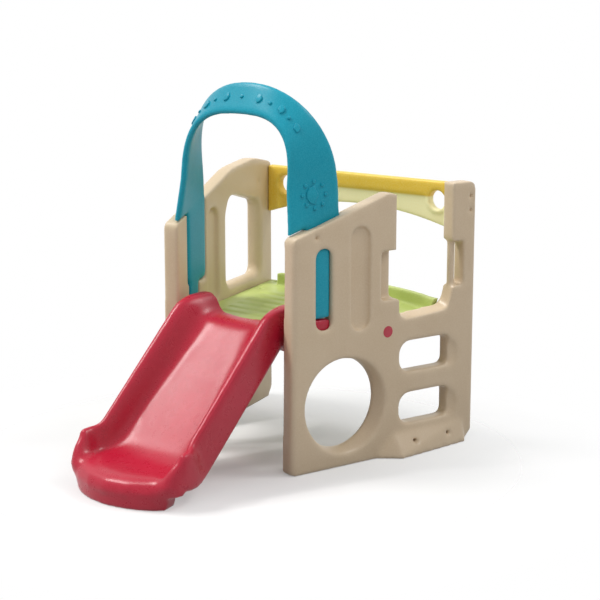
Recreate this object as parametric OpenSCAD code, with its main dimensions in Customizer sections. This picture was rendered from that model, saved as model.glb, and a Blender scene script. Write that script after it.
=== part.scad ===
// Toddler climbing gym: two splayed side walls, a deck, a slide, an entry arch and a rear panel.
// Millimetres. +Z is up, the slide runs out towards -Y, and the side-entry wall is at +X.

/* [Plan] */
// Outer width across the front corners of the two walls
front_w = 585; // [540:5:680]
// Length of each wall along its own foot
wall_len = 787; // [770:1:860]
// Angle at which each wall opens outwards towards the rear
splay = 15.4; // [10:0.2:18]

/* [Walls] */
// Thickness of a wall moulding
wall_t = 58; // [52:1:66]
// Height of a wall at its front corner
front_h = 800; // [770:1:830]
// Rise of a wall's rear above its front corner
rear_rise = 136; // [128:1:160]
// Pitch of the sloping top edge
top_pitch = 17.4; // [17:0.1:20]
// How far the front edge leans out at the foot
front_lean = 10; // [0:1:20]
// Radius of the outline's outer corners
corner_r = 26; // [10:1:34]
// Place of the left wall's crown along the wall
crown_s = 640; // [620:1:660]
// Rise of the left wall's crown above its rear height
crown_rise = 28; // [10:1:32]
// Place of the left wall's shoulder along the wall
shoulder_s = 440; // [425:1:460]
// Fall from the crown to the shoulder
shoulder_drop = 18; // [14:1:24]
// Length of the chamfer at the rear foot
heel_s = 30; // [15:1:45]
// Height of the chamfer at the rear foot
heel_z = 35; // [15:1:50]

/* [Foot flare] */
// Where the flare starts along the wall
flare_s = 350; // [342:1:366]
// Length of the flare
flare_len = 400; // [370:1:410]
// How far the flare stands out at the front of its toe
flare_front = 58; // [40:1:64]
// How far the flare stands out at the rear of its toe
flare_out = 24; // [12:1:34]
// Height at which the flare meets the wall
flare_h = 84; // [60:1:96]
// Radius of the two dimples in the flare
foot_dimple_r = 8; // [5:0.5:11]
// Depth of the two dimples, from the wall's outer face
foot_dimple_d = 14; // [8:1:24]

/* [Crawl hole] */
// Place of the hole's centre along the wall
hole_s = 206; // [195:1:215]
// Height of the hole's centre
hole_z = 220; // [205:1:225]
// Radius of the hole's throat
hole_r = 156; // [140:1:160]
// Radius of the rounded mouth on the outer face
hole_mouth = 10; // [6:1:24]
// Radius of the rounded mouth on the inner face
hole_mouth_in = 8; // [5:1:18]

/* [Slot window] */
// Place of the slot's centre line along the wall
slot_s = 127; // [122:1:128]
// Width of the slot
slot_w = 62; // [40:1:64]
// Height of the slot's lower end
slot_z = 486; // [484:1:494]
// Distance of the slot's upper end below the wall's front corner
slot_down = 43; // [26:1:66]

/* [Blind pocket] */
// Place of the pocket's centre line along the wall
pocket_s = 278; // [272:1:282]
// Width of the pocket
pocket_w = 80; // [60:1:84]
// Height of the pocket's lower end
pocket_z = 466; // [450:1:480]
// Rise of the pocket's upper end above the wall's front corner
pocket_rise = 20; // [4:1:38]
// Depth of the pocket from each face
pocket_d = 17; // [8:1:20]

/* [Foot slots] */
// Where the foot slots start along the wall
step_s = 454; // [450:1:462]
// Length of a foot slot
step_len = 222; // [180:1:230]
// Height of a foot slot
step_h = 108; // [90:1:112]
// Height of the lower slot's sill
step_z = 106; // [100:1:112]
// Rise from one foot slot to the next
step_rise = 185; // [176:1:186]
// Radius of a slot's front corners
step_front_r = 46; // [20:1:50]
// Radius of a slot's rear corners
step_rear_r = 24; // [12:1:40]

/* [Side entry] */
// Rear face of the front block along the wall
entry_s = 432; // [428:1:440]
// Clear width between the two blocks
entry_w = 250; // [230:1:256]
// Height of the threshold
entry_z = 496; // [490:1:506]
// Rise of the front ledge above the threshold
ledge_front = 60; // [50:1:70]
// Rise of the rear ledge above the threshold
ledge_rear = 76; // [60:1:84]
// Length of the front ledge past the front block
ledge_s = 16; // [10:1:24]
// Height of the rear block, from its underside to the wall's top
block_h = 211; // [190:1:236]
// Length of the front hand recess
grip_front = 64; // [45:1:66]
// Length of the rear hand recess, past the rear block's face
grip_rear = 54; // [40:1:58]
// Depth of the front hand recess from the outer face
grip_d = 38; // [25:1:40]
// Radius of the rear grab bar
bar_r = 13.5; // [10:0.5:15]
// Distance of the rear grab bar behind the rear block's face
bar_in = 18; // [16:1:24]
// Depth of the rear grab bar behind the outer face
bar_d = 32; // [24:1:36]

/* [Arched window] */
// Place of the window's centre along the wall
window_s = 534; // [528:1:540]
// Width of the window
window_w = 280; // [264:1:292]
// Distance of the window's crown below the wall's rear top
window_down = 92; // [82:1:102]
// How far the window's top falls towards the rear
window_fall = 48; // [20:1:60]
// Height of the window's sill
window_z = 514; // [508:1:526]

/* [Deck] */
// Height of the deck's top
deck_top = 472; // [468:1:474]
// Thickness of the deck
deck_t = 46; // [40:1:48]
// Distance from the walls' front corners to the deck's front edge
deck_front = 95; // [92:1:99]
// How far the deck runs past the walls' outer rear corners
deck_past = 6; // [0:1:10]
// Height of the curved rear lip above the deck
lip_h = 48; // [30:1:60]
// Width of the rear lip
lip_w = 24; // [16:1:30]
// Radius of the rear lip in plan
lip_r = 844; // [780:1:900]
// Reach of the rear lip towards the right wall, from the deck's middle
lip_right = 396; // [360:1:400]
// Reach of the rear lip towards the left wall, from the deck's middle
lip_left = 336; // [320:1:360]
// Height of the tread ribs
rib_h = 5; // [2:0.5:8]
// Width of a tread rib
rib_w = 36; // [20:1:44]
// Distance from rib to rib
rib_pitch = 65; // [60:1:72]
// Number of tread ribs
rib_count = 6; // [3:1:6]
// Width of the shelf that carries the deck
shelf_w = 60; // [52:1:66]
// Thickness of the shelf
shelf_t = 23; // [16:1:24]

/* [Slide] */
// Angle of the straight run
run_angle = 42.9; // [38:0.1:46]
// Radius at the top of the run
crest_r = 110; // [100:1:130]
// How far the crest starts ahead of the deck's front edge
crest_lead = 20; // [12:1:26]
// Radius at the foot of the run
dip_r = 150; // [130:1:190]
// Radius of the rolled front lip
nose_r = 55; // [53:1:64]
// Length of the flat exit
exit_len = 110; // [90:1:130]
// Fall of the flat exit
exit_angle = 2; // [0.5:0.1:5]
// Height of the exit at the lip
exit_z = 100; // [97:1:110]
// Thickness of the hook over the deck
hook_t = 20; // [14:1:26]
// How far the hook laps the deck
hook_lap = 15; // [10:1:24]
// Height of the rails along the run, square to it
rail_h = 80; // [65:1:90]
// Height of the flanks at the top
flank_h = 66; // [50:1:72]
// Depth of the body under the chute, square to the run
body_d = 60; // [50:1:66]
// Depth of the body at the top
top_d = 92; // [76:1:100]
// Half width of the chute floor at the top
chute_top = 100; // [85:1:115]
// Half width of the chute floor at the foot
chute_foot = 142; // [120:1:150]
// Depth of the dish in the chute's floor
floor_dish = 2; // [1:0.5:4]
// How far the exit flares out past the run on each side
exit_flare = 26; // [15:1:45]
// How far the front lip bows out at its middle
nose_bow = 84; // [60:1:90]
// How far the nose draws in at its front corners
nose_draw = 8; // [4:1:40]
// Fullness of the nose's front corners, where 2 is a plain circle
nose_full = 4; // [2:0.1:5]
// Gap between the slide's flanks and the walls at the front
slide_gap = 18; // [14:1:24]
// Radius of the rails and of the body's lower edges
rail_r = 16; // [10:1:18]
// Height of the plinth under the exit
plinth_h = 62; // [56:1:66]
// How far the plinth sits back from the lip
plinth_in = 9; // [6:1:16]
// How far the plinth's front corners are rounded back
plinth_round = 14; // [2:1:30]
// How far the plinth's front bows out at its middle
plinth_bow = 62; // [40:1:70]
// How far the plinth's sides draw in towards the floor
plinth_draft = 16; // [4:1:24]
// Length of the plinth
plinth_len = 138; // [120:1:150]
// How far the plinth's sides sit in from the flanks
plinth_side = 4; // [2:1:28]
// Height of the side tabs above the deck
tab_h = 48; // [36:1:52]

/* [Arch] */
// Thickness of the arch moulding
arch_t = 24; // [20:1:27]
// Depth of the arch's legs behind the walls' outer faces
arch_in = 35; // [33:1:38]
// Rise of the front rim's crown above the walls' front corners
arch_front_rise = 393; // [368:1:428]
// Rise of the rear rim's crown above the walls' front corners
arch_rear_rise = 498; // [478:1:538]
// Front rim's crown, behind the walls' front corners
arch_front_y = 54; // [40:1:64]
// Rear rim's crown, behind the walls' front corners
arch_rear_y = 118; // [108:1:135]
// Where the arch's foot starts along the wall
arch_s = 8; // [4:1:14]
// Length of the arch's foot along the wall
arch_len = 208; // [196:1:212]
// How far the front rim draws in towards its spring
arch_draw = 20; // [0:1:26]
// Fullness of the front rim's shoulders, where 2 is a plain circle
front_full = 3; // [2:0.1:3.2]
// Fullness of the rear rim's shoulders, where 2 is a plain circle
rear_full = 2.2; // [2:0.1:3]
// Lift of the arch's front corners off the walls
arch_lift = 3; // [0:1:10]
// Where the leg starts along the wall
leg_s = 78; // [74:1:82]
// Height of the leg's lower end
leg_z = 574; // [566:1:590]
// Depth of the leg's boss behind the walls' outer faces
boss_in = 14; // [10:1:20]
// Length of the leg's tongue along the wall
tongue_len = 70; // [60:1:74]
// Where the tongue starts along the wall
tongue_s = 90; // [88:1:94]

/* [Back panel] */
// Thickness of the panel's rail
panel_t = 38; // [30:1:44]
// How far the panel's front stands ahead of the walls' outer rear corners
panel_in = 24; // [16:1:34]
// Distance of the panel's top edge below the walls' rear top
panel_down = 12; // [6:1:21]
// Depth of the panel at its ends
panel_end = 182; // [150:1:190]
// Rise of the arched lower edge
panel_rise = 70; // [40:1:80]
// Height of the top rail
rail_band = 55; // [40:1:60]
// How far the web sits back from the rail's front
web_in = 9; // [4:1:12]
// Length of the solid end blocks
panel_block = 58; // [40:1:64]
// Radius of the round holes
port_r = 34; // [24:1:36]
// Distance of the round holes from the walls
port_in = 92; // [88:1:110]

/* [Fasteners] */
// Radius of a screw's shank
screw_r = 2.5; // [2:0.1:3]
// Radius of a screw's head
head_r = 6; // [5:0.1:7]
// Height of a screw's head
head_h = 3.6; // [3:0.1:5]
// Radius of the dimple that a screw's head sits in
dimple_r = 8.5; // [7.5:0.1:10]
// Depth of the dimples in the walls
dimple_d = 16; // [10:1:20]
// Depth of the dimples in the deck
deck_dimple_d = 14; // [8:1:20]
// Length of screw in the piece that it holds
grip_len = 17; // [12:1:18]
// Distance of the arch screw below the wall's top edge
arch_screw_down = 31; // [26:1:40]
// Distance of the arch screw behind the leg's front edge
arch_screw_in = 18; // [12:1:20]
// Distance of the upper panel screw below the panel's top
panel_screw_down = 40; // [30:1:46]
// Distance between the two panel screws
panel_screw_gap = 50; // [40:1:70]
// Distance of the rear deck screws from the walls' rear ends
deck_screw_back = 52; // [45:1:70]
// Distance between the deck screws of one side
deck_screw_gap = 145; // [120:1:170]
// Distance of the deck screws from the walls
deck_screw_in = 40; // [34:1:42]

/* [Sticker] */
// Radius of the plain round sticker
sticker_r = 20; // [12:1:24]
// Thickness of the sticker
sticker_t = 0.6; // [0.4:0.1:1.2]
// Place of the sticker along the wall
sticker_s = 395; // [385:1:405]
// Height of the sticker
sticker_z = 446; // [436:1:452]

/* [Clearances] */
// Gap between mouldings that fit into each other
fit_gap = 0.4; // [0.3:0.1:1]
// Radial gap between a screw and its hole
hole_gap = 0.3; // [0.2:0.1:0.6]

/* [Hidden] */

// Colours
tan_plastic = "#CDBFA8";
teal_plastic = "#2A8FA4";
red_plastic = "#B5253F";
green_plastic = "#9DB94A";
yellow_plastic = "#E8CC58";
screw_grey = "#8A8A88";
sticker_white = "#F2F0EA";

// Facets of a round cut, and steps on an outline's corner
$fn = 64;
corner_steps = 6;
// Overshoot of a cut past the face that it opens
over = 2;

// Details of the walls: crown, flare, threshold, blocks and sill
crown_r = 320;
arch_clear = 12;
flare_toe = 10;
flare_ramp = 75;
flare_tail = 12;
ledge_r = 12;
ledge_rear_r = 14;
ledge_rear_lean = 6;
scoop_front_r = 32;
scoop_rear_r = 44;
scoop_lean = 4;
scoop_dip = 5;
scoop_rise = 10;
scoop_in = 12;
block_r = 34;
block_step = 4;
sill_r = 34;
window_round = [0.18, 0.5, 0.11];
window_peak = 0.3;

// Points on the plan
rear_y = wall_len * cos(splay);
peak_s = rear_rise / tan(top_pitch);

// Heights that go with the walls' top edges
rear_h = front_h + rear_rise;
slot_len = front_h - slot_down - slot_z;
pocket_len = front_h + pocket_rise - pocket_z;
block_z = rear_h - block_h;
window_top = rear_h - window_down;
arch_front_z = front_h + arch_front_rise;
arch_rear_z = front_h + arch_rear_rise;
panel_top = rear_h - panel_down;

// Height of the sloping top edge at a place along the wall
function top_z(s) = front_h + s * tan(top_pitch);

// Distance of a line parallel to the walls, d inside their outer faces, from the middle at y
function side_x(y, d) = front_w / 2 + y * tan(splay) - d / cos(splay);

// Plan point at s along the right wall and d inside its outer face
function wall_pt(s, d) = [front_w / 2 + s * sin(splay) - d * cos(splay), s * cos(splay) + d * sin(splay)];

// Slide: the chute's floor line runs hook, crest, run, dip, exit, nose
hook_y = deck_front + hook_lap;
hook_z = deck_top + hook_t;
step_y = deck_front - fit_gap;
crest_y = deck_front - crest_lead;
run_y = crest_y - crest_r * sin(run_angle);
run_z = hook_z - crest_r * (1 - cos(run_angle));
foot_z = exit_z + exit_len * tan(exit_angle) + dip_r * (cos(exit_angle) - cos(run_angle));
foot_y = run_y - (run_z - foot_z) / tan(run_angle);
dip_y = foot_y - dip_r * (sin(run_angle) - sin(exit_angle));
lip_y = dip_y - exit_len;
nose_y = lip_y - nose_r * (1 - sin(exit_angle));
slide_half = side_x(0, wall_t) - slide_gap;
round_in = rail_r * (1 - cos(45));
nose_core = 14;
rail_flat = [4, 34];
tab_gap = 4;
tab_reach = 52;
tab_taper = 30;
tab_lead = 40;
thin = 1.5;
bend_steps = 5;
span_steps = 6;

// The part stands with its origin under the middle of its box
y_mid = (nose_y + floor_dish + rear_y + wall_t * sin(splay)) / 2;

// Deck and shelf
deck_z = deck_top - deck_t;
deck_rear = rear_y + deck_past;
shelf_s = 150;
shelf_end = 24;
rib_first = 112;
wide_fn = 200;

// Panel
panel_y = rear_y - panel_in;
panel_mid = panel_y + panel_t / 2;
port_down = 13;
panel_chord = side_x(panel_mid, wall_t);
panel_r = (pow(panel_chord, 2) + pow(panel_rise, 2)) / (2 * panel_rise);

// Fasteners
panel_screw_s = (panel_mid - wall_t * sin(splay)) / cos(splay);
panel_screw_z = [panel_top - panel_screw_down, panel_top - panel_screw_down - panel_screw_gap];
arch_screw_s = leg_s + arch_screw_in;
arch_screw_z = top_z(arch_screw_s) - arch_screw_down;
deck_screw_s = [wall_len - deck_screw_back, wall_len - deck_screw_back - deck_screw_gap];
deck_screw_d = wall_t + deck_screw_in;
foot_dimple_in = 154;
foot_dimple_gap = 156;
foot_dimple_s = [flare_s + foot_dimple_in, flare_s + foot_dimple_in + foot_dimple_gap];
foot_dimple_z = 46;
drive_w = 1.4;
drive_d = 1.8;

// Arch: rim curves, each with a leg that stands on the wall and a half circle above
arch_steps = 28;
leg_steps = 4;
tab_top = deck_top + tab_h;
boss_rim = 8;
boss_top = slot_z + slot_len + boss_rim;
leg_r = 24;
leg_rise = [12, 6];
band_round = 0.42;
rim_bow = [1, 2];

// Helpers

// Points of one rounded corner b, between neighbours a and c, with b[2] as its radius
function corner(a, b, c) =
    let(
        u = [a[0] - b[0], a[1] - b[1]] / norm([a[0] - b[0], a[1] - b[1]]),
        v = [c[0] - b[0], c[1] - b[1]] / norm([c[0] - b[0], c[1] - b[1]]),
        half = acos(max(-1, min(1, u * v))) / 2,
        p = [b[0], b[1]],
        mid = p + (u + v) / norm(u + v) * b[2] / sin(half),
        from = p + u * b[2] / tan(half) - mid,
        to = p + v * b[2] / tan(half) - mid,
        turn = 180 - 2 * half,
        way = (from[0] * to[1] - from[1] * to[0]) > 0 ? 1 : -1
    )
    b[2] == 0 ? [p] :
    [for (i = [0 : corner_steps])
        let(w = way * turn * i / corner_steps)
        mid + [from[0] * cos(w) - from[1] * sin(w), from[0] * sin(w) + from[1] * cos(w)]];

// Outline with its corners rounded; each point is [x, y, radius]
function rounded(pts) =
    [for (i = [0 : len(pts) - 1])
        each corner(pts[(i + len(pts) - 1) % len(pts)], pts[i], pts[(i + 1) % len(pts)])];

// Slot with round ends, standing on its lower end
module upright_slot(w, h) {
    translate([-w / 2, w / 2])
        square([w, h - w]);
    translate([0, w / 2])
        circle(w / 2);
    translate([0, h - w / 2])
        circle(w / 2);
}

// Puts children, drawn in the right wall's own frame, where that wall stands
module on_right() {
    translate([front_w / 2, -y_mid, 0])
        rotate([0, 0, 90 - splay])
            children();
}

// The same for the left wall
module on_left() {
    mirror([1, 0, 0])
        on_right()
            children();
}

// Raises an outline of the wall's face into a plate from depth d0 to depth d1
module plate(d0, d1) {
    translate([0, d1, 0])
        rotate([90, 0, 0])
            linear_extrude(d1 - d0)
                children();
}

// Round bar or hole square to the wall, from depth d0 to depth d1
module across(s, z, r, d0, d1) {
    translate([s, d0, z])
        rotate([-90, 0, 0])
            cylinder(r = r, h = d1 - d0);
}

// Skin over a row of rings, each a list of points in the same order, closed by the two lists of cap faces
module skin(rings, cap_first, cap_last) {
    n = len(rings[0]);
    m = len(rings);
    sides = [for (i = [0 : m - 2], j = [0 : n - 1])
        let(a = i * n + j, b = i * n + (j + 1) % n)
        each [[a, b + n, b], [a, a + n, b + n]]];
    polyhedron(points = [for (r = rings) each r], faces = concat(cap_first, sides, cap_last));
}

// Cap over a flat ring, as one face
function flat_cap(n, first, flip) = [[for (j = [0 : n - 1]) first + (flip ? n - 1 - j : j)]];

// Cap over a ring as a fan of triangles
function fan_cap(n, first, flip) =
    [for (j = [1 : n - 2])
        flip ? [first, first + j + 1, first + j] : [first, first + j, first + j + 1]];

// Walls

// Upper outline of a wall, from its rear end to the foot of the arch: straight, or with a crown
straight_top = [[peak_s, rear_h, corner_r * 3]];
crowned_top = [
    [crown_s, rear_h + crown_rise, crown_r],
    [shoulder_s, rear_h + crown_rise - shoulder_drop, crown_r],
    [arch_s + arch_len + arch_clear, top_z(arch_s + arch_len + arch_clear), 0]
];

// Outline of a wall's sheet
module wall_outline(top) {
    polygon(rounded(concat(
        [
            [-front_lean, 0, corner_r / 2],
            [wall_len - heel_s, 0, 0],
            [wall_len, heel_z, 0],
            [wall_len, rear_h, corner_r]
        ],
        top,
        [[0, front_h, corner_r]]
    )));
}

// Gap of the side entry: between the blocks, behind the rear grab bar and down to the threshold
module entry_gap() {
    rear = entry_s + entry_w;
    hand = rear + grip_rear;
    high = rear_h + corner_r;
    front_z = entry_z + ledge_front;
    rear_z = entry_z + ledge_rear;
    drop = entry_s + ledge_s;
    polygon(rounded([
        [entry_s - block_r, high, 0],
        [entry_s - block_r, top_z(entry_s - block_r), 0],
        [entry_s, top_z(entry_s - block_r) - block_r / 4, 0],
        [entry_s, front_z, 0],
        [drop, front_z, ledge_r],
        [drop + scoop_lean, entry_z - scoop_dip, scoop_front_r],
        [rear - scoop_in, entry_z + scoop_rise, scoop_rear_r],
        [rear + ledge_rear_lean, rear_z, ledge_rear_r],
        [hand, rear_z, ledge_r],
        [hand, block_z + block_step, ledge_r],
        [rear, block_z + block_step, ledge_r],
        [rear, high, 0]
    ]));
}

// Rounded mouth to be cut round the crawl hole at the face d; way is the side that its curve is on
module hole_rounding(mouth, d, way) {
    translate([hole_s, d, hole_z])
        rotate([-90 * way, 0, 0])
            rotate_extrude()
                difference() {
                    translate([hole_r - over, -over])
                        square([mouth + over, mouth + over]);
                    translate([hole_r + mouth, mouth])
                        circle(mouth);
                }
}

// Channel on the inner face for the arch's leg, its boss and the slide's tab
module leg_channel() {
    plate(arch_in - fit_gap, wall_t + over)
        translate([leg_s - fit_gap, leg_z - fit_gap])
            square([arch_s + arch_len - leg_s + 2 * fit_gap, rear_h - leg_z]);
    plate(boss_in - fit_gap, wall_t + over)
        translate([tongue_s - fit_gap, deck_top])
            square([tongue_len + 2 * fit_gap, boss_top + fit_gap - deck_top]);
}

// What both walls have: the sheet, its openings, the shelf, the foot flare and the screw holes
module wall_body(top) {
    difference() {
        union() {
            plate(0, wall_t)
                difference() {
                    wall_outline(top);
                    translate([hole_s, hole_z])
                        circle(hole_r);
                    translate([slot_s, slot_z])
                        upright_slot(slot_w, slot_len);
                }
            translate([shelf_s, wall_t - over, deck_z - shelf_t])
                cube([wall_len - shelf_end - shelf_s, shelf_w + over, shelf_t]);
            foot_flare();
        }
        hole_rounding(hole_mouth, 0, 1);
        hole_rounding(hole_mouth_in, wall_t, -1);
        leg_channel();
        for (face = [[-over, pocket_d], [wall_t - pocket_d, wall_t + over]])
            plate(face[0], face[1])
                translate([pocket_s, pocket_z])
                    upright_slot(pocket_w, pocket_len);
        for (s = foot_dimple_s)
            across(s, foot_dimple_z, foot_dimple_r, -flare_front - over, foot_dimple_d);
        screw_hole(arch_screw_s, arch_screw_z, arch_in);
        for (z = panel_screw_z)
            screw_hole(panel_screw_s, z, wall_t);
        for (s = deck_screw_s)
            translate([s, deck_screw_d, deck_z - grip_len - over])
                cylinder(r = screw_r + hole_gap, h = grip_len + 2 * over);
    }
}

// Stepped hole for a screw that is driven from the outer face: a dimple for the head, then the shank's hole
module screw_hole(s, z, depth) {
    across(s, z, dimple_r, -over, dimple_d);
    across(s, z, screw_r + hole_gap, dimple_d - over, depth + over);
}

// Flare along the foot, on the outer face
module foot_flare() {
    hull() {
        linear_extrude(flare_toe)
            polygon([
                [flare_s, 0],
                [flare_s + flare_ramp, -flare_front],
                [flare_s + flare_len - flare_tail, -flare_out],
                [flare_s + flare_len, 0]
            ]);
        translate([flare_s + flare_ramp, 0, flare_h - flare_toe])
            cube([flare_len - flare_ramp - flare_tail, over, flare_toe]);
    }
}

// Wall with the side entry, the hand recesses and the foot slots
module right_wall() {
    color(tan_plastic)
        on_right() {
            difference() {
                wall_body(straight_top);
                plate(-over, wall_t + over) {
                    entry_gap();
                    for (i = [0, 1])
                        translate([step_s, step_z + i * step_rise])
                            foot_slot();
                }
                plate(-over, grip_d)
                    hand_recess();
            }
            grab_bar();
        }
}

// Foot slot, rounder at its front end
module foot_slot() {
    polygon(rounded([
        [0, 0, step_front_r],
        [step_len, 0, step_rear_r],
        [step_len, step_h, step_rear_r],
        [0, step_h, step_front_r]
    ]));
}

// Hand recess ahead of the entry, under the front block
module hand_recess() {
    translate([entry_s - grip_front, entry_z + ledge_front])
        square([grip_front + over, block_z - entry_z - ledge_front]);
}

// Round grab bar between the rear ledge and the rear block
module grab_bar() {
    foot = entry_z + ledge_rear - over;
    translate([entry_s + entry_w + bar_in, bar_d, foot])
        cylinder(r = bar_r, h = block_z + block_step + over - foot);
}

// Wall with the arched window
module left_wall() {
    front = window_s - window_w / 2;
    rear = window_s + window_w / 2;
    color(tan_plastic)
        on_left()
            difference() {
                wall_body(crowned_top);
                plate(-over, wall_t + over)
                    polygon(rounded([
                        [front, window_z, sill_r],
                        [rear, window_z, sill_r],
                        [rear, window_top - window_fall, window_w * window_round[2]],
                        [front + window_w * window_peak, window_top, window_w * window_round[1]],
                        [front, window_top, window_w * window_round[0]]
                    ]));
            }
}

// Deck

// Deck between the walls: slab, curved rear lip and tread ribs, with dimples for its screws
module deck() {
    d = wall_t + fit_gap;
    front_x = side_x(deck_front, d);
    rear_x = side_x(deck_rear, d);
    color(green_plastic)
        difference() {
            translate([0, -y_mid, 0]) {
                translate([0, 0, deck_z])
                    linear_extrude(deck_t)
                        polygon([
                            [-front_x, deck_front],
                            [front_x, deck_front],
                            [rear_x, deck_rear],
                            [-rear_x, deck_rear]
                        ]);
                translate([0, 0, deck_top - over])
                    linear_extrude(lip_h + over)
                        rear_lip();
                for (i = [0 : rib_count - 1])
                    tread_rib(deck_front + rib_first + i * rib_pitch);
            }
            deck_holes()
                union() {
                    translate([0, 0, deck_top - deck_dimple_d])
                        cylinder(r = dimple_r, h = deck_dimple_d + over);
                    translate([0, 0, deck_z - over])
                        cylinder(r = screw_r + hole_gap, h = deck_t);
                }
        }
}

// Plan of the rear lip: a curved band, drawn forward at its ends
module rear_lip() {
    intersection() {
        translate([0, deck_rear - lip_r])
            difference() {
                circle(lip_r, $fn = wide_fn);
                circle(lip_r - lip_w, $fn = wide_fn);
            }
        translate([-lip_left, deck_rear - lip_r / 2])
            square([lip_left + lip_right, lip_r]);
    }
}

// One tread rib across the deck
module tread_rib(y) {
    half = side_x(y, wall_t) - shelf_w - deck_screw_in / 2;
    translate([-half, y, deck_top - over])
        cube([2 * half, rib_w, rib_h + over]);
}

// Puts children at each deck screw, on both sides
module deck_holes() {
    for (s = deck_screw_s) {
        on_right()
            translate([s, deck_screw_d, 0])
                children();
        on_left()
            translate([s, deck_screw_d, 0])
                children();
    }
}

// Slide

// Floor line of the chute as [y, z, slope] at each ring, from the hook to the nose
function floor_line() = concat(
    [for (y = [hook_y, step_y, step_y - thin]) [y, hook_z, 0]],
    [for (i = [0 : bend_steps])
        let(a = run_angle * i / bend_steps)
        [crest_y - crest_r * sin(a), hook_z - crest_r * (1 - cos(a)), a]],
    [for (i = [1 : span_steps - 1])
        let(k = i / span_steps)
        [run_y + (foot_y - run_y) * k, run_z + (foot_z - run_z) * k, run_angle]],
    [for (i = [0 : bend_steps])
        let(a = run_angle + (exit_angle - run_angle) * i / bend_steps)
        [foot_y - dip_r * (sin(run_angle) - sin(a)), foot_z - dip_r * (cos(a) - cos(run_angle)), a]],
    [for (i = [1 : span_steps])
        let(k = i / span_steps)
        [dip_y - exit_len * k, exit_z + exit_len * (1 - k) * tan(exit_angle), exit_angle]],
    [for (i = [1 : span_steps])
        let(a = exit_angle + (90 - exit_angle) * i / span_steps)
        [lip_y - nose_r * (sin(a) - sin(exit_angle)), exit_z - nose_r * (cos(exit_angle) - cos(a)), a]]
);

// Smooth step from 0 to 1 as v goes from a to b
function ease(v, a, b) =
    let(k = max(0, min(1, (v - a) / (b - a))))
    k * k * (3 - 2 * k);

// Half of the slide's section as [x, height over the floor], from under the middle to the floor's middle
function half_section(out, rail, flat, floor_w, depth, sag) = concat(
    [[0, -depth - sag], [out / 2, -depth - sag * 3 / 4], [out - rail_r, -depth]],
    [[out - round_in, -depth + round_in], [out, -depth + rail_r], [out, max(rail - rail_r, -depth / 2)]],
    [[out - round_in, rail - round_in], [out - rail_r, rail], [out - rail_r - flat, rail]],
    [for (i = [1 : span_steps])
        let(k = i / span_steps, inner = out - rail_r - flat)
        [inner + (floor_w - inner) * k, rail * (1 + cos(180 * k)) / 2]],
    [[floor_w / 2, -floor_dish * 3 / 4], [0, -floor_dish]]
);

// Ring of the slide at one point of the floor line
function slide_ring(p) =
    let(
        y = p[0],
        nose = ease(-y, -dip_y, -nose_y),
        turn = max(0, min(1, (dip_y - y) / (dip_y - nose_y))),
        draw = nose_draw * (1 - pow(1 - pow(turn, nose_full), 1 / nose_full)),
        flare = exit_flare * ease(-y, -foot_y, -dip_y) - draw,
        rail_run = flank_h + (rail_h - flank_h) * ease(-y, -crest_y, -run_y),
        rail = max(thin, rail_run * sqrt(1 - turn * turn)),
        depth_run = top_d + (body_d - top_d) * ease(-y, -crest_y, -run_y),
        on_deck = y >= step_y,
        depth_all = depth_run - (depth_run - nose_r + nose_core) * ease(-y, -foot_y, -lip_y),
        depth = on_deck ? hook_t : depth_all,
        sag = on_deck ? -fit_gap : floor_dish,
        flat = rail_flat[1] + (rail_flat[0] - rail_flat[1]) * ease(-y, -hook_y, -run_y),
        floor_w = chute_top + (chute_foot - chute_top) * ease(-y, -crest_y, -foot_y) + flare,
        half = half_section(slide_half + flare, rail, flat, floor_w, depth, sag),
        n = len(half),
        full = concat(half, [for (i = [1 : n - 2]) [-half[n - 1 - i][0], half[n - 1 - i][1]]])
    )
    [for (q = full) [
        q[0],
        y - q[1] * sin(p[2]) + nose * nose_bow * pow(q[0] / slide_half, 2),
        p[1] + q[1] * cos(p[2])
    ]];

// Slide in one moulding: chute with rails and a rolled lip, plinth, and side tabs that drop into the walls
module slide() {
    rings = [for (p = floor_line()) slide_ring(p)];
    n = len(rings[0]);
    color(red_plastic) {
        translate([0, -y_mid, 0])
            skin(rings, flat_cap(n, 0, false), flat_cap(n, (len(rings) - 1) * n, true));
        plinth();
        on_right()
            side_tab();
        on_left()
            side_tab();
    }
}

// Plinth under the exit, set back from the lip and drawn in towards the floor
module plinth() {
    half = slide_half - plinth_side;
    translate([0, -y_mid, 0])
        hull() {
            plinth_slab(half - plinth_draft);
            translate([0, 0, plinth_h - thin])
                plinth_slab(half);
        }
}

// Thin slab with the plinth's outline, bowed at the front
module plinth_slab(half) {
    front = nose_y + plinth_in;
    rear = front + plinth_len;
    steps = 10;
    bowed = [for (i = [-steps : steps])
        let(k = i / steps)
        [half * k, front + plinth_bow * k * k + plinth_round * pow(abs(k), 8)]];
    linear_extrude(thin)
        polygon(concat(bowed, [[half - rail_r, rear], [rail_r - half, rear]]));
}

// Tab that runs from the flank over the deck's corner into the wall's channel
module side_tab() {
    s0 = tongue_s + fit_gap;
    s1 = tongue_s + tongue_len - fit_gap;
    face = wall_t + tab_gap;
    translate([0, 0, deck_top])
        linear_extrude(tab_h)
            polygon([
                [s0, boss_in + fit_gap],
                [s1, boss_in + fit_gap],
                [s1, face],
                [s1 - tab_taper, face + tab_reach],
                [s0 - tab_lead, face + tab_reach],
                [s0 - tab_lead, wall_t + slide_gap],
                [s0, face]
            ]);
}

// Arch

// Sine or cosine v drawn out towards a fuller shoulder
function fuller(v, full) = sign(v) * pow(abs(v), 2 / full);

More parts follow.
